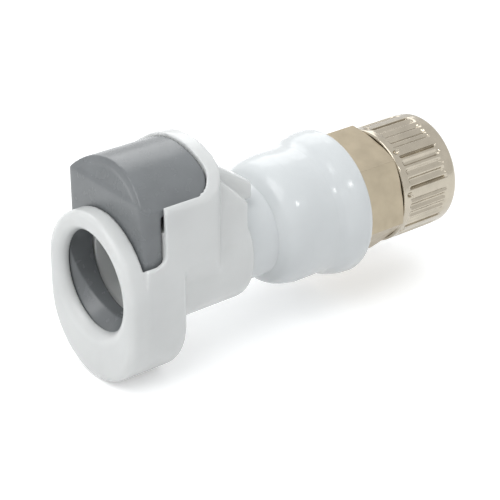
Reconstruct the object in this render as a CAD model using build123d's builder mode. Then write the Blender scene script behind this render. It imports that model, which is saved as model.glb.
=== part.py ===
from build123d import *

# Valved in-line quick disconnect coupling body: a white acetal socket with a
# spring-loaded thumb latch, a plug-in valve housing, and a nickel-plated brass
# tube fitting with a knurled compression nut.
# Frame, in millimetres: the flow axis is X, from the middle of the mouth (the
# origin) to the tube end.  +Z is up, the way the thumb latch faces.

import math
import os

# ---- mouth flange and latch box
FACE_R = 10.7  # half width of the mouth flange
FLANGE_T = 3.2
FLANGE_DROP = 4.8  # height between the flange's upper and lower round ends
FLANGE_EDGE = 1.1  # rounding of the flange's rims
MOUTH_FLARE = 1.7  # rounding of the bore's entry
SOCKET_R = 7.7  # bore that takes the mating insert
SOCKET_END = 15.0
BOX_W = 10.55  # half width of the latch box and the hood
BOX_DROP = 5.0  # centre of the box's round bottom, below the axis
BOX_END = 10.0
BOX_EDGE = 0.9

# ---- barrel behind the latch box
BARREL_R = 9.1
BARREL_END = 23.5
BARREL_EDGE = 0.8
SEAL_BORE_R = 5.6  # bore that the insert's nose seals in
CHAMBER_START = 18.8  # where the pocket for the valve housing starts
CHAMBER_R = 7.2

# ---- thumb latch
LATCH_GAP = 0.15  # slack on each side of the sliding latch
LATCH_TRAVEL = 2.0
LATCH_T = 2.95  # thickness of the latch plate along the flow axis
LATCH_W = 9.65
LATCH_DROP = -0.25  # centre of the plate's round bottom, below the axis
LATCH_HOLE_W = 7.9
LIP_LIFT = 1.5  # the lower arc of the latch hole is centred this far above the axis
HOLE_TOP_LIFT = 2.4
BOSS_START = 2.1  # front of the boss round the latch's hole
BOSS_R = 9.2
LEAD_IN_R = 8.2  # radius at the wide end of the hole's lead-in cone
LEAD_IN_THROAT = 6.3
LEAD_IN_END = 4.4
ARCH_R = 12.2  # radius of the pad's arched top
PAD_CROWN = 18.05
PAD_BOTTOM = 12.3
PAD_END = 15.6
PAD_CORNER = 3.4
LATCH_EDGE = 1.4  # rounding of the plate's front corners
NOSE_CHORD = 14.0  # height where the sloping face of the pad's nose begins
NOSE_LEAN = 1.3  # how far that face leans back at the crown
NOSE_RIM = 1.0  # width of the raised border along the arch
NOSE_RECESS = 0.25

# ---- hood around the thumb pad
HOOD_END = 18.0
HOOD_CROWN = 18.5
HOOD_ARCH_R = 13.0
HOOD_CORNER = 4.4
HOOD_FOOT = 4.0  # height where the side walls start to fall in to the barrel
POCKET_FLOOR = 9.9
BOX_POCKET_DROP = 4.0
SLOT_FLOOR = 5.2  # bottom of the side slots that show the latch
SADDLE_W = 8.4  # half width of the slope behind the hood
SADDLE_Z = 14.0
SADDLE_ROUND = 4.5
TONGUE_W = 5.0  # half width of the tongue that runs on over the neck
TONGUE_Z = 15.6
TONGUE_ROUND = 3.5
TONGUE_END = 25.8
TONGUE_END_Z = 10.3

# ---- valve housing
FIT_GAP = 0.05  # radial slack of plugged-in parts
SPIGOT_START = 18.9
NECK_R = 7.45
NECK_END = 28.9
SHOULDER = ((30.2, 9.2), (33.6, 10.2))
SLEEVE_R = 10.2
SLEEVE_END = 38.7
COLLAR_RISE = ((40.4, 10.95), (42.0, 11.45))
COLLAR_R = 11.55
HOUSING_END = 44.3
COLLAR_EDGE = 0.6
FRONT_WALL = 1.2
THROAT_R = 3.9
VALVE_BORE_R = 5.0
SPRING_SHELF = 31.5
PORT_R = 2.6
SOCKET_FLOOR = 35.5  # floor of the rear socket for the tube fitting
SHANK_R = 6.2

# ---- poppet
POPPET_TRAVEL = 2.5
POPPET_TIP = 15.7
POPPET_STEM_R = 1.5
VANE_R = 3.8
VANE_T = 1.0
HEAD_R = 4.6
HEAD_FACE = 20.35
HEAD_T = 2.4
GUIDE_R = 2.4
GUIDE_END = 25.4

# ---- O-rings and coil springs
CORD = 1.2
SEAL_CORD = 0.9  # section of the poppet's ring
SEAL_DEPTH = 0.75  # depth of its groove
SEAL_R = 4.05  # middle radius of the poppet's ring
GROOVE_W = 1.5
HOUSING_SEAL_X = 21.4
FITTING_SEAL_X = 38.6
VALVE_WIRE = 0.7
VALVE_COIL_R = 3.4
VALVE_TURNS = 4
LATCH_WIRE = 0.5
LATCH_COIL_R = 1.05
LATCH_TURNS = 4
SPRING_SLACK = 0.03
WIRE_SIDES = 6  # the wire's section, a plain stand-in for round

# ---- tube fitting
HEX_FLATS = 17.5
HEX_TURN = 15.0
HEX_END = 52.6
HEX_CORNER_R = 9.55  # radius where the turned chamfer starts on the end face
HEX_CHAMFER = 0.7
THREAD_R = 7.0
THREAD_END = 58.4
FITTING_BORE_R = 2.4
STEM_R = 3.1
STEM_END = 61.3
BARB_R = 3.6
BARB_START = 59.6

# ---- compression nut
NUT_R = 9.2
NUT_START = 52.75
NUT_END = 64.2
NUT_EDGE = 0.9
THREAD_GAP = 0.08
NUT_FLOOR = 61.6
TUBE_R = 4.85
GROOVES = 36
FLUTE_R = 0.42  # cutter radius of the nut's axial flutes
FLUTE_DEPTH = 0.36
FLUTE_START = 54.1
FLUTE_END = 61.9

os.makedirs("parts", exist_ok=True)


def arch_outline(half_width, radius, crown, floor):
    """Straight sides under an arched top, drawn across the flow axis."""
    centre = crown - radius
    shoulder = centre + math.sqrt(radius**2 - half_width**2)
    with BuildSketch() as outline:
        with BuildLine():
            Polyline(
                (-half_width, shoulder),
                (-half_width, floor),
                (half_width, floor),
                (half_width, shoulder),
            )
            ThreePointArc((half_width, shoulder), (0, crown), (-half_width, shoulder))
        make_face()
    return outline.sketch


def plan_outline(front, back, half_width, corner):
    """Plan rectangle with its two rear corners rounded."""
    with BuildSketch() as outline:
        with BuildLine():
            FilletPolyline(
                (front, -half_width),
                (back, -half_width),
                (back, half_width),
                (front, half_width),
                radius=corner,
            )
            Line((front, half_width), (front, -half_width))
        make_face()
    return outline.sketch


# ---- main body ---------------------------------------------------------
with BuildPart() as hood:
    with BuildSketch(Plane.YZ.offset(FLANGE_T)):
        add(arch_outline(BOX_W, HOOD_ARCH_R, HOOD_CROWN, HOOD_FOOT))
        with BuildLine():
            Polyline(
                (-BARREL_R, 0),
                (BARREL_R, 0),
                (BOX_W, HOOD_FOOT),
                (-BOX_W, HOOD_FOOT),
                close=True,
            )
        make_face()
    extrude(amount=HOOD_END - FLANGE_T)
    with BuildSketch(Plane.XY):
        add(plan_outline(FLANGE_T, HOOD_END, BOX_W, HOOD_CORNER))
    extrude(amount=HOOD_CROWN + 1, mode=Mode.INTERSECT)

with BuildPart() as saddle:
    with BuildSketch(Plane.YZ.offset(HOOD_END - 1)):
        Rectangle(2 * SADDLE_W, SADDLE_Z, align=(Align.CENTER, Align.MIN))
    extrude(amount=BARREL_END - BARREL_EDGE - HOOD_END + 1)
    fillet(saddle.edges().filter_by(Axis.X).sort_by(Axis.Z)[-2:], SADDLE_ROUND)
    with BuildSketch(Plane.XZ):
        with BuildLine():
            Polyline(
                (HOOD_END - 1, 0),
                (BARREL_END - BARREL_EDGE, 0),
                (BARREL_END - BARREL_EDGE, BARREL_R),
                (HOOD_END, SADDLE_Z),
                (HOOD_END - 1, SADDLE_Z),
                close=True,
            )
        make_face()
    extrude(amount=SADDLE_W, both=True, mode=Mode.INTERSECT)

with BuildPart() as tongue:
    with BuildSketch(Plane.YZ.offset(HOOD_END - 1)):
        with Locations((0, NECK_R + 2 * FIT_GAP)):
            Rectangle(2 * TONGUE_W, TONGUE_Z - NECK_R, align=(Align.CENTER, Align.MIN))
    extrude(amount=TONGUE_END - HOOD_END + 1)
    fillet(tongue.edges().filter_by(Axis.X).sort_by(Axis.Z)[-2:], TONGUE_ROUND)
    with BuildSketch(Plane.XZ):
        with BuildLine():
            Polyline(
                (HOOD_END - 1, NECK_R),
                (TONGUE_END, NECK_R),
                (TONGUE_END, TONGUE_END_Z),
                (HOOD_END, TONGUE_Z),
                (HOOD_END - 1, TONGUE_Z),
                close=True,
            )
        make_face()
    extrude(amount=TONGUE_W, both=True, mode=Mode.INTERSECT)

with BuildPart() as body:
    # mouth flange with two round ends
    with BuildSketch(Plane.YZ):
        Circle(FACE_R)
        with Locations((0, -FLANGE_DROP)):
            Circle(FACE_R)
        with Locations((0, -FLANGE_DROP / 2)):
            Rectangle(2 * FACE_R, FLANGE_DROP)
    extrude(amount=FLANGE_T)
    fillet(body.faces().sort_by(Axis.X)[0].edges(), FLANGE_EDGE)
    # latch box
    with BuildSketch(Plane.YZ.offset(FLANGE_T)):
        with Locations((0, -BOX_DROP)):
            Circle(BOX_W)
            Rectangle(2 * BOX_W, BOX_DROP + HOOD_FOOT + 2, align=(Align.CENTER, Align.MIN))
    extrude(amount=BOX_END - FLANGE_T)
    fillet(body.faces().sort_by(Axis.X)[-1].edges().filter_by(GeomType.CIRCLE), BOX_EDGE)
    # barrel
    with BuildSketch(Plane.YZ.offset(FLANGE_T)):
        Circle(BARREL_R)
    extrude(amount=BARREL_END - FLANGE_T)
    fillet(body.faces().sort_by(Axis.X)[-1].edges(), BARREL_EDGE)
    add(hood.part)
    add(saddle.part)
    add(tongue.part)
    # pocket of the latch plate, with a round bottom
    with BuildSketch(Plane.YZ.offset(FLANGE_T)):
        with Locations((0, -BOX_POCKET_DROP)):
            Circle(LATCH_W + LATCH_GAP)
            Rectangle(
                2 * (LATCH_W + LATCH_GAP),
                2 * HOOD_CROWN,
                align=(Align.CENTER, Align.MIN),
            )
    extrude(amount=LATCH_T + 2 * LATCH_GAP, mode=Mode.SUBTRACT)
    # room in the flange for the boss round the latch's hole
    with BuildSketch(Plane.YZ.offset(BOSS_START - LATCH_GAP)):
        with Locations((0, 0), (0, -LATCH_TRAVEL)):
            Circle(BOSS_R + LATCH_GAP)
        with Locations((0, -LATCH_TRAVEL / 2)):
            Rectangle(2 * (BOSS_R + LATCH_GAP), LATCH_TRAVEL)
    extrude(amount=FLANGE_T - BOSS_START + LATCH_GAP, mode=Mode.SUBTRACT)
    # slots through both side walls
    slot_mid = FLANGE_T + LATCH_GAP + LATCH_T / 2
    slot_r = LATCH_T / 2 + LATCH_GAP
    with BuildSketch(Plane.XZ):
        with Locations((slot_mid, SLOT_FLOOR + slot_r)):
            Circle(slot_r)
            Rectangle(2 * slot_r, HOOD_CROWN, align=(Align.CENTER, Align.MIN))
    extrude(amount=2 * BOX_W, both=True, mode=Mode.SUBTRACT)
    # pocket of the thumb pad
    with BuildSketch(Plane.XY.offset(POCKET_FLOOR)):
        add(
            plan_outline(
                FLANGE_T + LATCH_GAP,
                PAD_END + LATCH_GAP,
                LATCH_W + LATCH_GAP,
                PAD_CORNER + LATCH_GAP,
            )
        )
    extrude(amount=HOOD_CROWN, mode=Mode.SUBTRACT)
    # stepped bore
    with BuildSketch(Plane.YZ):
        Circle(SOCKET_R)
    extrude(amount=SOCKET_END, mode=Mode.SUBTRACT)
    with BuildSketch(Plane.YZ):
        Circle(SEAL_BORE_R)
    extrude(amount=BARREL_END, mode=Mode.SUBTRACT)
    with BuildSketch(Plane.YZ.offset(CHAMBER_START)):
        Circle(CHAMBER_R)
    extrude(amount=BARREL_END, mode=Mode.SUBTRACT)
    mouth = body.edges().filter_by(GeomType.CIRCLE).filter_by_position(Axis.X, -0.01, 0.01)
    fillet(mouth.sort_by(SortBy.RADIUS)[0], MOUTH_FLARE)
body.part.label = "main_body"
export_step(body.part, "parts/main_body.step")

# ---- thumb latch ---------------------------------------------------------
latch_x0 = FLANGE_T + LATCH_GAP
with BuildPart() as pad:
    with BuildSketch(Plane.YZ.offset(latch_x0)):
        add(arch_outline(LATCH_W, ARCH_R, PAD_CROWN, PAD_BOTTOM))
    extrude(amount=PAD_END - latch_x0)
    with BuildSketch(Plane.XY):
        add(plan_outline(latch_x0, PAD_END, LATCH_W, PAD_CORNER))
    extrude(amount=PAD_CROWN + 1, mode=Mode.INTERSECT)

with BuildPart() as latch:
    with BuildSketch(Plane.YZ.offset(latch_x0)):
        with Locations((0, -LATCH_DROP)):
            Circle(LATCH_W)
            Rectangle(
                2 * LATCH_W,
                PAD_BOTTOM + LATCH_DROP + 0.5,
                align=(Align.CENTER, Align.MIN),
            )
    extrude(amount=LATCH_T)
    add(pad.part)
    fillet(latch.edges().filter_by(Axis.Z).sort_by(Axis.X)[:2], LATCH_EDGE)
    # sloping face of the nose
    with BuildSketch(Plane.XZ):
        with BuildLine():
            Polyline(
                (latch_x0 - 1, NOSE_CHORD),
                (latch_x0, NOSE_CHORD),
                (latch_x0 + NOSE_LEAN, PAD_CROWN),
                (latch_x0 + NOSE_LEAN, PAD_CROWN + 1),
                (latch_x0 - 1, PAD_CROWN + 1),
                close=True,
            )
        make_face()
    extrude(amount=LATCH_W, both=True, mode=Mode.SUBTRACT)
    # boss round the hole, let into the flange
    with BuildSketch(Plane.YZ.offset(BOSS_START)):
        Circle(BOSS_R)
    extrude(amount=latch_x0 - BOSS_START)
    # hole for the insert: straight sides, round top and bottom
    with BuildSketch(Plane.YZ.offset(BOSS_START)):
        with Locations((0, LIP_LIFT), (0, HOLE_TOP_LIFT)):
            Circle(LATCH_HOLE_W)
        with Locations((0, (LIP_LIFT + HOLE_TOP_LIFT) / 2)):
            Rectangle(2 * LATCH_HOLE_W, HOLE_TOP_LIFT - LIP_LIFT)
    extrude(amount=latch_x0 + LATCH_T - BOSS_START, mode=Mode.SUBTRACT)
    # lead-in cone that lets the insert push the lip down
    with BuildSketch(Plane.XZ):
        with BuildLine():
            Polyline(
                (BOSS_START, 0),
                (BOSS_START, LEAD_IN_R),
                (LEAD_IN_END, LEAD_IN_THROAT),
                (LEAD_IN_END, 0),
                close=True,
            )
        make_face()
    revolve(axis=Axis.X, mode=Mode.SUBTRACT)
latch.part.label = "thumb_latch"
export_step(latch.part, "parts/thumb_latch.step")

# ---- latch spring: stands between the pocket's floor and the plate -------
floor_z = -BOX_POCKET_DROP - LATCH_W - LATCH_GAP
plate_bottom = -LATCH_W - LATCH_DROP
latch_mid = latch_x0 + LATCH_T / 2
coil_low = floor_z + SPRING_SLACK + LATCH_WIRE / 2 + LATCH_GAP / 2
coil_high = plate_bottom - SPRING_SLACK - LATCH_WIRE / 2
with BuildPart() as latch_spring:
    with BuildLine():
        Helix(
            pitch=(coil_high - coil_low) / LATCH_TURNS,
            height=coil_high - coil_low,
            radius=LATCH_COIL_R,
            center=(latch_mid, 0, coil_low),
        )
    wire_start = latch_spring.pending_edges[0].position_at(0)
    wire_way = latch_spring.pending_edges[0].tangent_at(0)
    with BuildSketch(Plane(origin=wire_start, z_dir=wire_way)):
        RegularPolygon(LATCH_WIRE / 2, WIRE_SIDES)
    sweep(is_frenet=True)
latch_spring.part.label = "latch_spring"
export_step(latch_spring.part, "parts/latch_spring.step")

# ---- valve housing -------------------------------------------------------
spigot_r = CHAMBER_R - FIT_GAP
with BuildPart() as housing:
    with BuildSketch(Plane.XZ):
        with BuildLine():
            Polyline(
                (SPIGOT_START, THROAT_R),
                (SPIGOT_START, spigot_r),
                (BARREL_END, spigot_r),
                (BARREL_END, NECK_R),
                (NECK_END, NECK_R),
            )
            Spline((NECK_END, NECK_R), *SHOULDER, tangents=((1, 2.2), (1, 0)))
            Line(SHOULDER[-1], (SLEEVE_END, SLEEVE_R))
            Spline(
                (SLEEVE_END, SLEEVE_R),
                *COLLAR_RISE,
                (HOUSING_END - COLLAR_EDGE, COLLAR_R),
                tangents=((1, 0), (1, 0)),
            )
            Polyline(
                (HOUSING_END - COLLAR_EDGE, COLLAR_R),
                (HOUSING_END, COLLAR_R - COLLAR_EDGE),
                (HOUSING_END, SHANK_R + FIT_GAP),
                (SOCKET_FLOOR, SHANK_R + FIT_GAP),
                (SOCKET_FLOOR, PORT_R),
                (SPRING_SHELF, PORT_R),
                (SPRING_SHELF, VALVE_BORE_R),
                (SPIGOT_START + FRONT_WALL, VALVE_BORE_R),
                (SPIGOT_START + FRONT_WALL, THROAT_R),
                (SPIGOT_START, THROAT_R),
            )
        make_face()
    revolve(axis=Axis.X)
    # groove of the front O-ring
    with BuildSketch(Plane.YZ.offset(HOUSING_SEAL_X - GROOVE_W / 2)):
        Circle(spigot_r)
        Circle(CHAMBER_R - CORD + FIT_GAP, mode=Mode.SUBTRACT)
    extrude(amount=GROOVE_W, mode=Mode.SUBTRACT)
housing.part.label = "valve_housing"
export_step(housing.part, "parts/valve_housing.step")

with BuildPart() as housing_seal:
    with BuildSketch(Plane.XZ):
        with Locations((HOUSING_SEAL_X, CHAMBER_R - CORD / 2 + SPRING_SLACK)):
            Circle(CORD / 2 - SPRING_SLACK)
    revolve(axis=Axis.X)
housing_seal.part.label = "housing_seal"
export_step(housing_seal.part, "parts/housing_seal.step")

# ---- poppet: vaned nose, head, rear guide --------------------------------
with BuildPart() as poppet:
    with BuildSketch(Plane.XZ):
        with BuildLine():
            Polyline(
                (POPPET_TIP, 0),
                (POPPET_TIP, POPPET_STEM_R),
                (HEAD_FACE, POPPET_STEM_R + VANE_T),
                (HEAD_FACE, HEAD_R),
                (HEAD_FACE + HEAD_T, HEAD_R),
                (HEAD_FACE + HEAD_T, GUIDE_R),
                (GUIDE_END, GUIDE_R),
                (GUIDE_END, 0),
                close=True,
            )
        make_face()
    revolve(axis=Axis.X)
    # four vanes keep the nose on the axis in the seat's throat
    with BuildSketch(Plane.YZ.offset(POPPET_TIP + VANE_T)):
        Rectangle(2 * VANE_R, VANE_T)
        Rectangle(VANE_T, 2 * VANE_R)
        Circle(VANE_R, mode=Mode.INTERSECT)
    extrude(amount=SPIGOT_START + FRONT_WALL - POPPET_TIP - VANE_T)
    # face groove of the sealing ring
    with BuildSketch(Plane.YZ.offset(HEAD_FACE)):
        Circle(SEAL_R + SEAL_CORD / 2 + FIT_GAP / 2)
        Circle(SEAL_R - SEAL_CORD / 2 - FIT_GAP / 2, mode=Mode.SUBTRACT)
    extrude(amount=SEAL_DEPTH, mode=Mode.SUBTRACT)
poppet.part.label = "poppet"
export_step(poppet.part, "parts/poppet.step")

seal_x = SPIGOT_START + FRONT_WALL + SPRING_SLACK + SEAL_CORD / 2
with BuildPart() as poppet_seal:
    with BuildSketch(Plane.XZ):
        with Locations((seal_x, SEAL_R)):
            Circle(SEAL_CORD / 2)
    revolve(axis=Axis.X)
poppet_seal.part.label = "poppet_seal"
export_step(poppet_seal.part, "parts/poppet_seal.step")

# ---- valve spring: pushes the poppet on to its seat ----------------------
coil_front = HEAD_FACE + HEAD_T + SPRING_SLACK + VALVE_WIRE / 2
coil_back = SPRING_SHELF - SPRING_SLACK - VALVE_WIRE / 2
with BuildPart() as valve_spring:
    with BuildLine():
        Helix(
            pitch=(coil_back - coil_front) / VALVE_TURNS,
            height=coil_back - coil_front,
            radius=VALVE_COIL_R,
            center=(coil_front, 0, 0),
            direction=(1, 0, 0),
        )
    wire_start = valve_spring.pending_edges[0].position_at(0)
    wire_way = valve_spring.pending_edges[0].tangent_at(0)
    with BuildSketch(Plane(origin=wire_start, z_dir=wire_way)):
        RegularPolygon(VALVE_WIRE / 2, WIRE_SIDES)
    sweep(is_frenet=True)
valve_spring.part.label = "valve_spring"
export_step(valve_spring.part, "parts/valve_spring.step")

# ---- tube fitting: shank, hexagon, threaded end, tube stem ---------------
with BuildPart() as fitting:
    with BuildSketch(Plane.YZ.offset(HOUSING_END)):
        RegularPolygon(HEX_FLATS / 2, 6, major_radius=False, rotation=HEX_TURN)
    extrude(amount=HEX_END - HOUSING_END)
    # turned chamfer on the corners at the nut's end
    with BuildSketch(Plane.XZ):
        with BuildLine():
            Polyline(
                (HOUSING_END, 0),
                (HOUSING_END, 2 * HEX_FLATS),
                (HEX_END - HEX_CHAMFER, 2 * HEX_FLATS),
                (HEX_END - HEX_CHAMFER, HEX_CORNER_R + HEX_CHAMFER),
                (HEX_END, HEX_CORNER_R - HEX_CHAMFER),
                (HEX_END, 0),
                close=True,
            )
        make_face()
    revolve(axis=Axis.X, mode=Mode.INTERSECT)
    with BuildSketch(Plane.XZ):
        with BuildLine():
            Polyline(
                (SOCKET_FLOOR + SPRING_SLACK, 0),
                (SOCKET_FLOOR + SPRING_SLACK, SHANK_R - FIT_GAP),
                (SOCKET_FLOOR + SPRING_SLACK + FIT_GAP, SHANK_R),
                (HEX_END - HEX_CHAMFER, SHANK_R),
                (HEX_END - HEX_CHAMFER, THREAD_R),
                (THREAD_END, THREAD_R),
                (THREAD_END, STEM_R),
                (BARB_START, STEM_R),
                (BARB_START, BARB_R),
                (STEM_END, STEM_R - FIT_GAP),
                (STEM_END, 0),
                close=True,
            )
        make_face()
    revolve(axis=Axis.X)
    with BuildSketch(Plane.YZ.offset(SOCKET_FLOOR)):
        Circle(FITTING_BORE_R)
    extrude(amount=STEM_END - SOCKET_FLOOR, mode=Mode.SUBTRACT)
    with BuildSketch(Plane.YZ.offset(FITTING_SEAL_X - GROOVE_W / 2)):
        Circle(SHANK_R)
        Circle(SHANK_R - CORD + FIT_GAP, mode=Mode.SUBTRACT)
    extrude(amount=GROOVE_W, mode=Mode.SUBTRACT)
fitting.part.label = "tube_fitting"
export_step(fitting.part, "parts/tube_fitting.step")

with BuildPart() as fitting_seal:
    with BuildSketch(Plane.XZ):
        with Locations((FITTING_SEAL_X, SHANK_R + FIT_GAP - CORD / 2 + SPRING_SLACK)):
            Circle(CORD / 2 - SPRING_SLACK)
    revolve(axis=Axis.X)
fitting_seal.part.label = "fitting_seal"
export_step(fitting_seal.part, "parts/fitting_seal.step")

# ---- compression nut -----------------------------------------------------
with BuildPart() as nut:
    with BuildSketch(Plane.XZ):
        with BuildLine():
            Polyline(
                (NUT_START, THREAD_R + THREAD_GAP),
                (NUT_START, NUT_R),
                (NUT_END, NUT_R),
                (NUT_END, TUBE_R),
                (NUT_FLOOR, TUBE_R),
                (NUT_FLOOR, THREAD_R + THREAD_GAP),
                close=True,
            )
        make_face()
    revolve(axis=Axis.X)
    rims = nut.edges().filter_by(GeomType.CIRCLE).sort_by(SortBy.RADIUS)[-2:].sort_by(Axis.X)
    fillet(rims[-1], NUT_EDGE)
    fillet(rims[0], NUT_EDGE / 3)
    # axial flutes for grip
    flute_axis = NUT_R - FLUTE_DEPTH + FLUTE_R
    with BuildSketch(Plane.YZ.offset(FLUTE_START)):
        with PolarLocations(flute_axis, GROOVES):
            Circle(FLUTE_R)
    extrude(amount=FLUTE_END - FLUTE_START, mode=Mode.SUBTRACT)
nut.part.label = "compression_nut"
export_step(nut.part, "parts/compression_nut.step")
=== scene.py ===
import math

import bmesh
import bpy
from mathutils import Matrix, Vector


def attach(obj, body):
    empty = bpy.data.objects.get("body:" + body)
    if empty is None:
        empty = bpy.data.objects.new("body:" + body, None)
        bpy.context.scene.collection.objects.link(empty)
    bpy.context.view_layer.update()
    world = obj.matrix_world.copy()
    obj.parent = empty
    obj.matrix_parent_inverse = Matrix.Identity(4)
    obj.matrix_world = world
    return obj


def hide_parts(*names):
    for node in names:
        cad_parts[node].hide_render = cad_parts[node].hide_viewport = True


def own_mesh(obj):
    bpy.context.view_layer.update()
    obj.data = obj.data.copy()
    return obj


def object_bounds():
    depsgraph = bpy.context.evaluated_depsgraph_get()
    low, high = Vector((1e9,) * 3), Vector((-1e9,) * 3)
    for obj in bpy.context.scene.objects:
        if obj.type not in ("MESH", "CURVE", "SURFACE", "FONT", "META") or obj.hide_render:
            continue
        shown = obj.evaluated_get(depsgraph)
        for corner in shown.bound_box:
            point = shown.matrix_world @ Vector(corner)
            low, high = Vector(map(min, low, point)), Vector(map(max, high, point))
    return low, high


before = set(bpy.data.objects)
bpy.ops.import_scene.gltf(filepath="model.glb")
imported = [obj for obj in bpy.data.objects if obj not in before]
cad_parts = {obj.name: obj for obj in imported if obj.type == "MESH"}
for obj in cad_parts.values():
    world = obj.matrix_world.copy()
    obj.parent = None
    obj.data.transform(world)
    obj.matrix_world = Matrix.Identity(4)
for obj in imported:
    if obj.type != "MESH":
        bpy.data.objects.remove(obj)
CAD_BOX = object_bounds()

bl_info = {
    "name": "Quick disconnect coupling",
    "version": (1, 0, 0),
    "blender": (4, 5, 0),
    "location": "View3D > Sidebar > Coupling",
    "description": "Dresses an in-line quick disconnect coupling body and its studio",
    "category": "Object",
}

MM = 0.001

# lengths in millimetres
SHARP_ABOVE = 32  # degrees between faces past which a carved edge stays crisp
BODY_VOXEL, BODY_ROUNDS = 0.25, 28
LATCH_VOXEL, LATCH_ROUNDS = 0.2, 6
SLOT_NOTCH = ((3.2, 8.9, 5.2), (4.8, 11.2, 9.4))  # cut on the +Y side, mirrored to -Y
NOSE_FRONT, NOSE_CHORD, NOSE_LEAN = 3.35, 14.0, 1.3
PAD_CROWN, PAD_ARCH_R = 18.05, 12.2
CRESCENT_R, CRESCENT_RISE = 11.15, 0.45
RIB_START, RIB_END, RIB_FADE = 53.9, 61.9, 0.6
RIB_PITCH, GROUP_TURN = 9, 45  # degrees
LAND_TURN = 36  # degrees from +Y to the middle of one plain land of the nut
POCKET_X, POCKET_DEPTH, POCKET_HALF_LENGTH, POCKET_HALF_TURN = 53.95, 0.5, 0.55, 2.4

# the room and the camera, in metres
ROOM_LOW, ROOM_HIGH, ROOM_TOP = 0.06, 1.15, 0.9
CAMERA_PLACE = (-0.1103, -0.1772, 0.1132)
CAMERA_AHEAD, CAMERA_RIGHT = (0.549, 0.697, -0.461), (0.7855, -0.619, 0)


# ---------------------------------------------------------------- node helpers
def linear(hex_colour):
    """sRGB hex to a linear RGBA tuple."""
    out = []
    for i in (1, 3, 5):
        c = int(hex_colour[i : i + 2], 16) / 255
        out.append(c / 12.92 if c <= 0.04045 else ((c + 0.055) / 1.055) ** 2.4)
    return (*out, 1.0)


def add_node(tree, kind, links=None, **settings):
    """Add a node; settings are its attributes, links maps an input to a source socket or a value."""
    node = tree.nodes.new(kind)
    for key, value in settings.items():
        setattr(node, key, value)
    for key, value in (links or {}).items():
        socket = node.inputs[key]
        if isinstance(value, bpy.types.NodeSocket):
            tree.links.new(value, socket)
        else:
            socket.default_value = value
    return node


def start_material(name):
    mat = bpy.data.materials.new(name)
    mat.use_nodes = True
    tree = mat.node_tree
    tree.nodes.clear()
    shader = add_node(tree, "ShaderNodeBsdfPrincipled")
    out = add_node(tree, "ShaderNodeOutputMaterial", {"Surface": shader.outputs[0]})
    where = add_node(tree, "ShaderNodeTexCoord").outputs["Object"]
    return mat, tree, shader, where


def varied_colour(tree, where, colour, fade, patch_mm, detail=4.0):
    """Soft patches patch_mm across, from the colour down to a share `fade` darker."""
    light = linear(colour)
    dark = (*(c * (1 - fade) for c in light[:3]), 1.0)
    noise = add_node(tree, "ShaderNodeTexNoise", {"Vector": where, "Scale": 1 / (patch_mm * MM), "Detail": detail})
    ramp = add_node(tree, "ShaderNodeValToRGB", {"Fac": noise.outputs[0]})
    ramp.color_ramp.elements[0].position = 0.3
    ramp.color_ramp.elements[1].position = 0.7
    ramp.color_ramp.elements[0].color = dark
    ramp.color_ramp.elements[1].color = light
    return ramp.outputs[0]


def varied_value(tree, where, low, high, patch_mm, detail=3.0):
    """A value that drifts between low and high over patches patch_mm across."""
    noise = add_node(tree, "ShaderNodeTexNoise", {"Vector": where, "Scale": 1 / (patch_mm * MM), "Detail": detail})
    span = add_node(tree, "ShaderNodeMapRange", {"Value": noise.outputs[0], 1: 0.3, 2: 0.7, 3: low, 4: high})
    return span.outputs[0]


def soft_edges(tree, radius_mm, height, strength, distance_mm):
    """Rounded-looking corners with a fine relief on top."""
    rounded = add_node(tree, "ShaderNodeBevel", {"Radius": radius_mm * MM}, samples=4).outputs[0]
    bump = add_node(
        tree,
        "ShaderNodeBump",
        {"Height": height, "Normal": rounded, "Strength": strength, "Distance": distance_mm * MM},
    )
    return bump.outputs[0]


# ---------------------------------------------------------------- materials
def moulded_natural_acetal():
    """Unpigmented acetal: milky, light spreads a little way in, satin skin off the mould."""
    mat, tree, shader, where = start_material("natural_acetal_moulded")
    look = bpy.context.scene.coupling_look
    tree.links.new(varied_colour(tree, where, look.body_colour, 0.06, 7), shader.inputs["Base Color"])
    tree.links.new(varied_value(tree, where, 0.20, 0.27, 2.5), shader.inputs["Roughness"])
    shader.inputs["IOR"].default_value = 1.48
    shader.inputs["Subsurface Weight"].default_value = 0.5
    shader.inputs["Subsurface Radius"].default_value = (1.0, 1.0, 0.97)
    shader.inputs["Subsurface Scale"].default_value = 2.0 * MM
    # the mould's own texture is under 0.1 mm and would not show, so it is drawn coarser
    grain = add_node(tree, "ShaderNodeTexNoise", {"Vector": where, "Scale": 1 / (1.2 * MM), "Detail": 1.0})
    skin = add_node(tree, "ShaderNodeBump", {"Height": grain.outputs[0], "Strength": 0.04, "Distance": 0.03 * MM})
    tree.links.new(skin.outputs[0], shader.inputs["Normal"])
    return mat


def moulded_bright_acetal():
    """Glossier, slightly bluish white acetal of the valve housing: clear soft reflections."""
    mat, tree, shader, where = start_material("white_acetal_polished_mould")
    look = bpy.context.scene.coupling_look
    tree.links.new(varied_colour(tree, where, look.housing_colour, 0.06, 9), shader.inputs["Base Color"])
    tree.links.new(varied_value(tree, where, 0.13, 0.18, 3.0), shader.inputs["Roughness"])
    shader.inputs["IOR"].default_value = 1.48
    shader.inputs["Subsurface Weight"].default_value = 0.35
    shader.inputs["Subsurface Radius"].default_value = (1.0, 1.0, 1.0)
    shader.inputs["Subsurface Scale"].default_value = 1.8 * MM
    # the mould's own texture is under 0.1 mm and would not show, so it is drawn coarser
    grain = add_node(tree, "ShaderNodeTexNoise", {"Vector": where, "Scale": 1 / (1.6 * MM), "Detail": 1.0})
    skin = add_node(tree, "ShaderNodeBump", {"Height": grain.outputs[0], "Strength": 0.03, "Distance": 0.03 * MM})
    tree.links.new(skin.outputs[0], shader.inputs["Normal"])
    return mat


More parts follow.
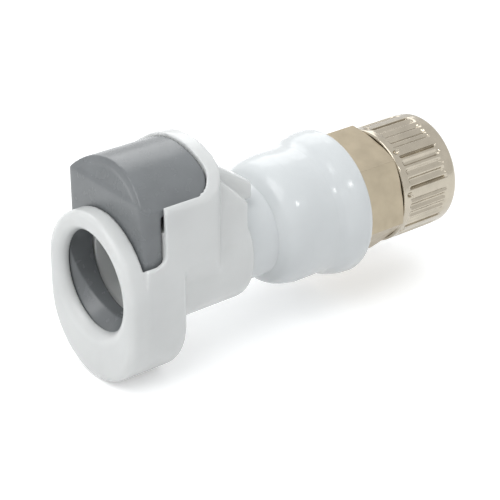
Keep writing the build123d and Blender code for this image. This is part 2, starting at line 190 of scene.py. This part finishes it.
def moulded_grey_acetal():
    """Grey pigmented acetal: opaque, satin, edges catch the light."""
    mat, tree, shader, where = start_material("grey_acetal_moulded")
    look = bpy.context.scene.coupling_look
    tree.links.new(varied_colour(tree, where, look.latch_colour, 0.16, 5), shader.inputs["Base Color"])
    tree.links.new(varied_value(tree, where, 0.22, 0.29, 1.8), shader.inputs["Roughness"])
    shader.inputs["IOR"].default_value = 1.48
    # the mould's own texture is under 0.1 mm and would not show, so it is drawn coarser
    grain = add_node(tree, "ShaderNodeTexNoise", {"Vector": where, "Scale": 1 / (1.0 * MM), "Detail": 1.0})
    skin = add_node(tree, "ShaderNodeBump", {"Height": grain.outputs[0], "Strength": 0.03, "Distance": 0.03 * MM})
    tree.links.new(skin.outputs[0], shader.inputs["Normal"])
    return mat


def satin_nickel_plate():
    """Satin nickel over milled brass: fine mill lines round the flats, warm grey reflections."""
    mat, tree, shader, where = start_material("nickel_plated_brass_satin")
    look = bpy.context.scene.coupling_look
    shader.inputs["Metallic"].default_value = 1.0
    tree.links.new(varied_colour(tree, where, look.fitting_colour, 0.16, 3), shader.inputs["Base Color"])
    tree.links.new(varied_value(tree, where, 0.28, 0.42, 1.2), shader.inputs["Roughness"])
    squeeze = add_node(tree, "ShaderNodeMapping", {"Vector": where, "Scale": (1.0, 0.08, 0.08)})
    lines = add_node(
        tree, "ShaderNodeTexNoise", {"Vector": squeeze.outputs[0], "Scale": 1 / (0.12 * MM), "Detail": 4.0}
    )
    tree.links.new(soft_edges(tree, 0.15, lines.outputs[0], 0.25, 0.02), shader.inputs["Normal"])
    return mat


def bright_nickel_plate():
    """Bright nickel over turned brass: crisp, slightly streaked reflections round the nut."""
    mat, tree, shader, where = start_material("nickel_plated_brass_bright")
    look = bpy.context.scene.coupling_look
    shader.inputs["Metallic"].default_value = 1.0
    tree.links.new(varied_colour(tree, where, look.nut_colour, 0.16, 3), shader.inputs["Base Color"])
    tree.links.new(varied_value(tree, where, 0.12, 0.20, 1.0), shader.inputs["Roughness"])
    squeeze = add_node(tree, "ShaderNodeMapping", {"Vector": where, "Scale": (1.0, 0.1, 0.1)})
    lines = add_node(
        tree, "ShaderNodeTexNoise", {"Vector": squeeze.outputs[0], "Scale": 1 / (0.2 * MM), "Detail": 3.0}
    )
    tree.links.new(soft_edges(tree, 0.15, lines.outputs[0], 0.12, 0.02), shader.inputs["Normal"])
    return mat


def nitrile_rubber():
    """Black O-ring rubber: soft sheen, a trace of talc in the colour."""
    mat, tree, shader, where = start_material("nitrile_rubber_moulded")
    tree.links.new(varied_colour(tree, where, "#29292B", 0.45, 1), shader.inputs["Base Color"])
    tree.links.new(varied_value(tree, where, 0.45, 0.6, 0.8), shader.inputs["Roughness"])
    shader.inputs["IOR"].default_value = 1.52
    grain = add_node(tree, "ShaderNodeTexNoise", {"Vector": where, "Scale": 1 / (0.1 * MM), "Detail": 2.0})
    tree.links.new(soft_edges(tree, 0.05, grain.outputs[0], 0.1, 0.02), shader.inputs["Normal"])
    return mat


def drawn_spring_steel():
    """Drawn stainless wire: bright with die lines along it."""
    mat, tree, shader, where = start_material("stainless_wire_drawn")
    shader.inputs["Metallic"].default_value = 1.0
    tree.links.new(varied_colour(tree, where, "#C2C4C6", 0.2, 1), shader.inputs["Base Color"])
    tree.links.new(varied_value(tree, where, 0.22, 0.34, 0.5), shader.inputs["Roughness"])
    grain = add_node(tree, "ShaderNodeTexNoise", {"Vector": where, "Scale": 1 / (0.08 * MM), "Detail": 2.0})
    tree.links.new(soft_edges(tree, 0.05, grain.outputs[0], 0.1, 0.01), shader.inputs["Normal"])
    return mat


def studio_paper():
    """White paper sweep: shows white to the camera and keeps the object's shadow."""
    mat, tree, shader, where = start_material("white_studio_paper")
    paper = varied_colour(tree, where, "#F3F3F3", 0.04, 40)
    tree.links.new(paper, shader.inputs["Base Color"])
    shader.inputs["Roughness"].default_value = 0.9
    shader.inputs["Specular IOR Level"].default_value = 0.1
    grain = add_node(tree, "ShaderNodeTexNoise", {"Vector": where, "Scale": 1 / (3 * MM), "Detail": 2.0})
    bump = add_node(tree, "ShaderNodeBump", {"Height": grain.outputs[0], "Strength": 0.02, "Distance": MM})
    tree.links.new(bump.outputs[0], shader.inputs["Normal"])
    look = bpy.context.scene.coupling_studio
    glow = add_node(tree, "ShaderNodeEmission", {"Color": (1, 1, 1, 1), "Strength": look.paper_lift})
    both = add_node(tree, "ShaderNodeAddShader", {0: shader.outputs[0], 1: glow.outputs[0]})
    path = add_node(tree, "ShaderNodeLightPath")
    seen = add_node(
        tree, "ShaderNodeMath", {0: path.outputs["Is Camera Ray"], 1: path.outputs["Is Transmission Ray"]},
        operation="MAXIMUM",
    )
    seen = add_node(tree, "ShaderNodeMath", {0: seen.outputs[0], 1: path.outputs["Is Glossy Ray"]}, operation="MAXIMUM")
    mix = add_node(tree, "ShaderNodeMixShader", {0: seen.outputs[0], 1: shader.outputs[0], 2: both.outputs[0]})
    out = next(n for n in tree.nodes if n.type == "OUTPUT_MATERIAL")
    tree.links.new(mix.outputs[0], out.inputs["Surface"])
    return mat


def smooth_run(points, steps=8):
    """Catmull-Rom points through the given (x, r) stations."""
    out = []
    for i in range(len(points) - 1):
        p0, p1 = Vector(points[max(i - 1, 0)]), Vector(points[i])
        p2, p3 = Vector(points[i + 1]), Vector(points[min(i + 2, len(points) - 1)])
        for k in range(steps):
            t = k / steps
            out.append(
                0.5 * ((2 * p1) + (p2 - p0) * t + (2 * p0 - 5 * p1 + 4 * p2 - p3) * t**2
                       + (3 * p1 - p0 - 3 * p2 + p3) * t**3)
            )
    return [tuple(p) for p in out] + [tuple(points[-1])]


def turned(name, profile, steps, relief=None):
    """Closed (x, r) loop in millimetres turned about the flow axis; relief(angle, x, r) lowers the skin."""
    bm = bmesh.new()
    rings = []
    for k in range(steps):
        angle = 2 * math.pi * k / steps
        ring = []
        for x, r in profile:
            depth = relief(angle, x, r) if relief else 0.0
            ring.append(
                bm.verts.new((x * MM, (r - depth) * math.cos(angle) * MM, (r - depth) * math.sin(angle) * MM))
            )
        rings.append(ring)
    count = len(profile)
    for k in range(steps):
        here, there = rings[k], rings[(k + 1) % steps]
        for i in range(count):
            j = (i + 1) % count
            bm.faces.new((here[i], here[j], there[j], there[i])).smooth = True
    bmesh.ops.recalc_face_normals(bm, faces=bm.faces)
    for edge in bm.edges:
        if len(edge.link_faces) == 2 and edge.calc_face_angle() > math.radians(38):
            edge.smooth = False
    mesh = bpy.data.meshes.new(name)
    bm.to_mesh(mesh)
    bm.free()
    obj = bpy.data.objects.new(name, mesh)
    bpy.context.scene.collection.objects.link(obj)
    return obj


def carved(name, node, cutters):
    """Copy of a CAD node's mesh with closed cutter meshes taken away, shaded smooth by angle."""
    piece = bpy.data.objects.new(name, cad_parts[node].data.copy())
    scene = bpy.context.scene
    scene.collection.objects.link(piece)
    weld = piece.modifiers.new("weld", "WELD")
    weld.merge_threshold = 0.0005 * MM
    tools = []
    for bm in cutters:
        bmesh.ops.recalc_face_normals(bm, faces=bm.faces)
        mesh = bpy.data.meshes.new("cutter")
        bm.to_mesh(mesh)
        bm.free()
        tool = bpy.data.objects.new("cutter", mesh)
        scene.collection.objects.link(tool)
        cut = piece.modifiers.new("cut", "BOOLEAN")
        cut.object = tool
        cut.operation = "DIFFERENCE"
        cut.solver = "EXACT"
        tools.append(tool)
    made = bpy.data.meshes.new_from_object(piece.evaluated_get(bpy.context.evaluated_depsgraph_get()))
    made.name = name
    piece.modifiers.clear()
    piece.data = made
    for tool in tools:
        bpy.data.objects.remove(tool)
    made.materials.clear()
    made.shade_smooth()
    made.set_sharp_from_angle(angle=math.radians(SHARP_ABOVE))
    return piece


def moulded(piece, voxel_mm, weight_of, rounds):
    """Even skin of small quads whose edges are eased as weight_of(x, y, z) in millimetres says."""
    skin = piece.modifiers.new("skin", "REMESH")
    skin.mode = "VOXEL"
    skin.voxel_size = voxel_mm * MM
    graph = bpy.context.evaluated_depsgraph_get()
    piece.data = bpy.data.meshes.new_from_object(piece.evaluated_get(graph))
    piece.modifiers.clear()
    group = piece.vertex_groups.new(name="ease")
    for v in piece.data.vertices:
        group.add([v.index], weight_of(v.co.x / MM, v.co.y / MM, v.co.z / MM), "REPLACE")
    ease = piece.modifiers.new("ease", "SMOOTH")
    ease.factor = 0.5
    ease.iterations = rounds
    ease.vertex_group = "ease"
    graph = bpy.context.evaluated_depsgraph_get()
    piece.data = bpy.data.meshes.new_from_object(piece.evaluated_get(graph))
    piece.modifiers.clear()
    piece.vertex_groups.clear()
    piece.data.shade_smooth()
    return piece


def block(low, high):
    """Closed box between two corners in millimetres."""
    bm = bmesh.new()
    bmesh.ops.create_cube(bm, size=1.0)
    for v in bm.verts:
        v.co = Vector([(low[i] if v.co[i] < 0 else high[i]) * MM for i in range(3)])
    return bm


def rounded_step(centre_x, centre_r, radius, start, end, steps=6):
    """Arc of (x, r) points; angles in degrees from +x towards +r."""
    return [
        (
            centre_x + radius * math.cos(math.radians(start + (end - start) * k / steps)),
            centre_r + radius * math.sin(math.radians(start + (end - start) * k / steps)),
        )
        for k in range(steps + 1)
    ]


def dress(node, material):
    """Give a CAD node this material on all its slots."""
    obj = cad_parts[node]
    if not obj.material_slots:
        obj.data.materials.append(material)
    for slot in obj.material_slots:
        slot.material = material
    return obj


# ---------------------------------------------------------------- properties
class CouplingLook(bpy.types.PropertyGroup):
    body_colour: bpy.props.StringProperty(
        name="Body", description="Natural acetal body, sRGB hex", default="#D9DAD9"
    )
    housing_colour: bpy.props.StringProperty(
        name="Housing", description="Bright acetal valve housing, sRGB hex", default="#D6D9DA"
    )
    latch_colour: bpy.props.StringProperty(name="Latch", description="Grey acetal latch, sRGB hex", default="#777A7C")
    fitting_colour: bpy.props.StringProperty(
        name="Hexagon", description="Satin nickel of the tube fitting, sRGB hex", default="#B7AB95"
    )
    nut_colour: bpy.props.StringProperty(
        name="Nut", description="Bright nickel of the nut, sRGB hex", default="#BAB2A3"
    )
    flute_depth: bpy.props.FloatProperty(
        name="Flute depth", description="Depth of the nut's flutes", default=0.00042, min=0, max=0.0005,
        unit="LENGTH",
    )
    crescent_depth: bpy.props.FloatProperty(
        name="Crescent depth", description="Depth of the recess on the latch's nose", default=0.00014, min=0.00005,
        max=0.0005, unit="LENGTH",
    )


class CouplingStudio(bpy.types.PropertyGroup):
    key_watts: bpy.props.FloatProperty(
        name="Key light", description="Power of the large softbox", default=1.25, min=0, unit="POWER"
    )
    paper_lift: bpy.props.FloatProperty(
        name="Paper lift", description="White added to the paper where it is seen directly", default=0.35, min=0
    )
    camera_lens: bpy.props.FloatProperty(
        name="Lens", description="Focal length on a 36 mm wide sensor", default=119.9, unit="CAMERA"
    )


# ---------------------------------------------------------------- operators
class COUPLING_OT_stage(bpy.types.Operator):
    """Paper sweep, softboxes and camera"""

    bl_idname = "coupling.stage"
    bl_label = "Studio"

    def execute(self, context):
        look = context.scene.coupling_studio
        low = CAD_BOX[0][2]
        bm = bmesh.new()
        bmesh.ops.create_grid(bm, x_segments=2, y_segments=2, size=3.0)
        mesh = bpy.data.meshes.new("paper")
        bm.to_mesh(mesh)
        bm.free()
        paper = bpy.data.objects.new("paper", mesh)
        paper.location = (0.03, 0, low - 0.02 * MM)
        paper.data.materials.append(studio_paper())
        context.scene.collection.objects.link(paper)

        world = bpy.data.worlds.new("studio")
        context.scene.world = world
        world.use_nodes = True
        tree = world.node_tree
        tree.nodes.clear()
        # the room: brighter overhead than at eye level
        way = add_node(tree, "ShaderNodeTexCoord").outputs["Generated"]
        height = add_node(tree, "ShaderNodeSeparateXYZ", {0: way}).outputs["Z"]
        level = add_node(tree, "ShaderNodeMapRange", {"Value": height, 1: 0.0, 2: ROOM_TOP, 3: ROOM_LOW, 4: ROOM_HIGH})
        fill = add_node(
            tree, "ShaderNodeBackground", {"Color": linear("#EEF1F3"), "Strength": level.outputs[0]}
        )
        white = add_node(tree, "ShaderNodeBackground", {"Color": (1, 1, 1, 1), "Strength": 1.0})
        path = add_node(tree, "ShaderNodeLightPath")
        seen = path.outputs["Is Camera Ray"]
        for ray in ("Is Glossy Ray", "Is Transmission Ray"):
            seen = add_node(tree, "ShaderNodeMath", {0: seen, 1: path.outputs[ray]}, operation="MAXIMUM").outputs[0]
        mix = add_node(tree, "ShaderNodeMixShader", {0: seen, 1: fill.outputs[0], 2: white.outputs[0]})
        add_node(tree, "ShaderNodeOutputWorld", {"Surface": mix.outputs[0]})

        target = Vector((0.03, 0, 0))
        for name, place, size, watts in (
            ("softbox_key", (-0.25, -0.05, 0.45), 0.40, look.key_watts),
            ("softbox_rear", (0.25, 0.40, 0.35), 0.35, look.key_watts * 0.5),
            ("softbox_front", (-0.50, -0.10, 0.12), 0.30, look.key_watts * 0.08),
            ("strip_right", (0.12, -0.45, 0.40), 0.07, look.key_watts * 0.16),
        ):
            data = bpy.data.lights.new(name, "AREA")
            data.shape = "SQUARE"
            data.size = size
            data.energy = watts
            lamp = bpy.data.objects.new(name, data)
            lamp.location = place
            lamp.rotation_euler = (target - Vector(place)).to_track_quat("-Z", "Y").to_euler()
            context.scene.collection.objects.link(lamp)

        cam = bpy.data.cameras.new("camera")
        cam.sensor_width = 36
        cam.lens = look.camera_lens
        cam.clip_start = 0.01
        cam.clip_end = 20
        eye = bpy.data.objects.new("camera", cam)
        ahead = Vector(CAMERA_AHEAD).normalized()
        right = Vector(CAMERA_RIGHT).normalized()
        up = right.cross(ahead).normalized()
        place = Matrix((
            (right.x, up.x, -ahead.x, CAMERA_PLACE[0]),
            (right.y, up.y, -ahead.y, CAMERA_PLACE[1]),
            (right.z, up.z, -ahead.z, CAMERA_PLACE[2]),
            (0, 0, 0, 1),
        ))
        eye.matrix_world = place
        context.scene.collection.objects.link(eye)
        context.scene.camera = eye
        context.scene.view_settings.view_transform = "Standard"
        return {"FINISHED"}


class COUPLING_OT_main_body(bpy.types.Operator):
    """Moulded socket body with its latch box and hood"""

    bl_idname = "coupling.main_body"
    bl_label = "Main body"

    def execute(self, context):
        # the slots run out square at the flange
        (x0, y0, z0), (x1, y1, z1) = SLOT_NOTCH
        notches = [
            block((x0, min(side * y0, side * y1), z0), (x1, max(side * y0, side * y1), z1)) for side in (1, -1)
        ]
        body = carved("main_body_shell", "main_body", notches)

        def ease(x, y, z):
            """Strong where the hood runs down into the barrel, light elsewhere, least inside the pockets."""
            inside = math.hypot(y, z) < 8.0 or (x < 16.1 and abs(y) < 10.1 and z > 9.5) or (1.8 < x < 6.6)
            if inside:
                return 0.03
            behind = min(max((x - 15.5) / 2.5, 0), 1)
            low = min(max((z - 13.5) / 2.5, 0), 1) if x < 18.4 else 0.0
            return 0.25 + 0.75 * behind * (1 - low)

        moulded(body, BODY_VOXEL, ease, BODY_ROUNDS)
        body.data.materials.append(moulded_natural_acetal())
        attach(body, "coupling")
        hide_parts("main_body")
        return {"FINISHED"}


class COUPLING_OT_valve_housing(bpy.types.Operator):
    """Valve housing that plugs into the body"""

    bl_idname = "coupling.valve_housing"
    bl_label = "Valve housing"

    def execute(self, context):
        white = moulded_bright_acetal()
        dress("poppet", white)
        skin = [(18.9, 3.9), (18.9, 7.15), (23.5, 7.15), (23.5, 7.45), (28.5, 7.45)]
        skin += smooth_run([(28.9, 7.5), (29.35, 8.1), (30.2, 9.1), (31.6, 9.8), (33.6, 10.2)])
        skin += [(36.0, 10.2)]
        skin += smooth_run([(38.4, 10.2), (39.4, 10.45), (40.6, 11.0), (42.0, 11.4), (43.2, 11.52)])
        skin += rounded_step(43.5, 10.75, 0.8, 80, 0)
        skin += [(44.3, 6.25), (35.5, 6.25), (35.5, 2.6), (31.5, 2.6), (31.5, 5.0), (20.1, 5.0), (20.1, 3.9)]
        housing = turned("valve_housing_shell", skin, 144)
        housing.data.materials.append(white)
        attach(housing, "coupling")
        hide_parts("valve_housing")
        return {"FINISHED"}


class COUPLING_OT_thumb_latch(bpy.types.Operator):
    """Grey thumb latch"""

    bl_idname = "coupling.thumb_latch"
    bl_label = "Thumb latch"

    def execute(self, context):
        # shallow crescent let into the nose, leaving a border along the arch
        depth = context.scene.coupling_look.crescent_depth / MM
        slope = NOSE_LEAN / (PAD_CROWN - NOSE_CHORD)
        out = Vector((-1, 0, slope)).normalized()
        centre, radius, floor = PAD_CROWN - PAD_ARCH_R, CRESCENT_R, NOSE_CHORD + CRESCENT_RISE
        reach = math.sqrt(radius**2 - (floor - centre) ** 2)
        steps = 28
        rim = []
        for k in range(steps + 1):
            y = -reach + 2 * reach * k / steps
            rim.append((y, centre + math.sqrt(radius**2 - y**2)))
        bm = bmesh.new()
        face = [Vector((NOSE_FRONT + (z - NOSE_CHORD) * slope, y, z)) for y, z in rim]
        near = [bm.verts.new((point + out * 0.6) * MM) for point in face]
        far = [bm.verts.new((point - out * depth) * MM) for point in face]
        bm.faces.new(near)
        bm.faces.new(list(reversed(far)))
        for k in range(len(rim)):
            j = (k + 1) % len(rim)
            bm.faces.new((near[j], near[k], far[k], far[j]))
        latch = carved("thumb_latch_shell", "thumb_latch", [bm])
        moulded(latch, LATCH_VOXEL, lambda x, y, z: 0.35 if z > 9 else 0.1, LATCH_ROUNDS)
        latch.data.materials.append(moulded_grey_acetal())
        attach(latch, "latch")
        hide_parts("thumb_latch")
        return {"FINISHED"}


class COUPLING_OT_metal_end(bpy.types.Operator):
    """Plated tube fitting and compression nut"""

    bl_idname = "coupling.metal_end"
    bl_label = "Tube end"

    def execute(self, context):
        dress("tube_fitting", satin_nickel_plate())
        pitch, group = math.radians(RIB_PITCH), math.radians(GROUP_TURN)
        land_turn = math.radians(LAND_TURN)
        flute_depth = context.scene.coupling_look.flute_depth / MM

        def fluting(angle, x, r):
            """Groups of four flutes between plain lands, and a small pocket at the front of each land."""
            if r < 8.9:
                return 0.0
            turn = (angle - land_turn) % group
            run = min(max((x - RIB_START) / RIB_FADE, 0), 1) * min(max((RIB_END - x) / RIB_FADE, 0), 1)
            run = run * run * (3 - 2 * run)
            wave = 0.5 - 0.5 * math.cos(2 * math.pi * turn / pitch)
            flute = flute_depth * wave**0.8 * run if pitch / 2 < turn < group - pitch / 2 else 0.0
            edge = min(turn, group - turn)
            across = max(0.0, 1 - (edge / math.radians(POCKET_HALF_TURN)) ** 2)
            pocket = POCKET_DEPTH * across * max(0.0, 1 - ((x - POCKET_X) / POCKET_HALF_LENGTH) ** 2)
            return max(flute, pocket)

        skin = [(52.75, 7.08), (52.75, 8.9)]
        skin += rounded_step(53.05, 8.9, 0.3, 180, 90, 4)
        skin += [(53.3 + 0.2 * k, 9.2) for k in range(46)]
        skin += [(62.6, 9.2)] + rounded_step(63.2, 8.2, 1.0, 90, 0, 8)
        skin += [(64.2, 5.3), (63.8, 4.85), (61.6, 4.85), (61.6, 7.08)]
        nut = turned("compression_nut_shell", skin, 720, fluting)
        nut.data.materials.append(bright_nickel_plate())
        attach(nut, "nut")
        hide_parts("compression_nut")
        return {"FINISHED"}


class COUPLING_OT_seals_springs(bpy.types.Operator):
    """O-rings and coil springs"""

    bl_idname = "coupling.seals_springs"
    bl_label = "Seals and springs"

    def execute(self, context):
        rubber = nitrile_rubber()
        steel = drawn_spring_steel()
        for node in ("poppet_seal", "housing_seal", "fitting_seal"):
            dress(node, rubber)
        # each spring gets the drawn steel and a mesh of its own
        for node, joint, axis, fixed_mm, length_mm, travel_mm in (
            ("latch_spring", "latch_press", (0, 0, 1), -13.8, 4.37, 2.0),
            ("valve_spring", "poppet_open", (1, 0, 0), 31.5, 8.72, 2.5),
        ):
            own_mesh(dress(node, steel))
        return {"FINISHED"}


OPERATORS = (
    COUPLING_OT_main_body,
    COUPLING_OT_valve_housing,
    COUPLING_OT_thumb_latch,
    COUPLING_OT_metal_end,
    COUPLING_OT_seals_springs,
    COUPLING_OT_stage,
)


class COUPLING_PT_panel(bpy.types.Panel):
    """Lists the coupling's pieces"""

    bl_idname = "COUPLING_PT_panel"
    bl_label = "Coupling"
    bl_space_type = "VIEW_3D"
    bl_region_type = "UI"
    bl_category = "Coupling"

    def draw(self, context):
        for op in OPERATORS:
            self.layout.operator(op.bl_idname)
        for group in (context.scene.coupling_look, context.scene.coupling_studio):
            for prop in group.__annotations__:
                self.layout.prop(group, prop)


CLASSES = (CouplingLook, CouplingStudio, *OPERATORS, COUPLING_PT_panel)


def register():
    for cls in CLASSES:
        bpy.utils.register_class(cls)
    bpy.types.Scene.coupling_look = bpy.props.PointerProperty(type=CouplingLook)
    bpy.types.Scene.coupling_studio = bpy.props.PointerProperty(type=CouplingStudio)


def unregister():
    del bpy.types.Scene.coupling_studio
    del bpy.types.Scene.coupling_look
    for cls in reversed(CLASSES):
        bpy.utils.unregister_class(cls)


def main():
    register()
    for op in OPERATORS:
        group, name = op.bl_idname.split(".")
        getattr(getattr(bpy.ops, group), name)()


if __name__ == "__main__":
    main()
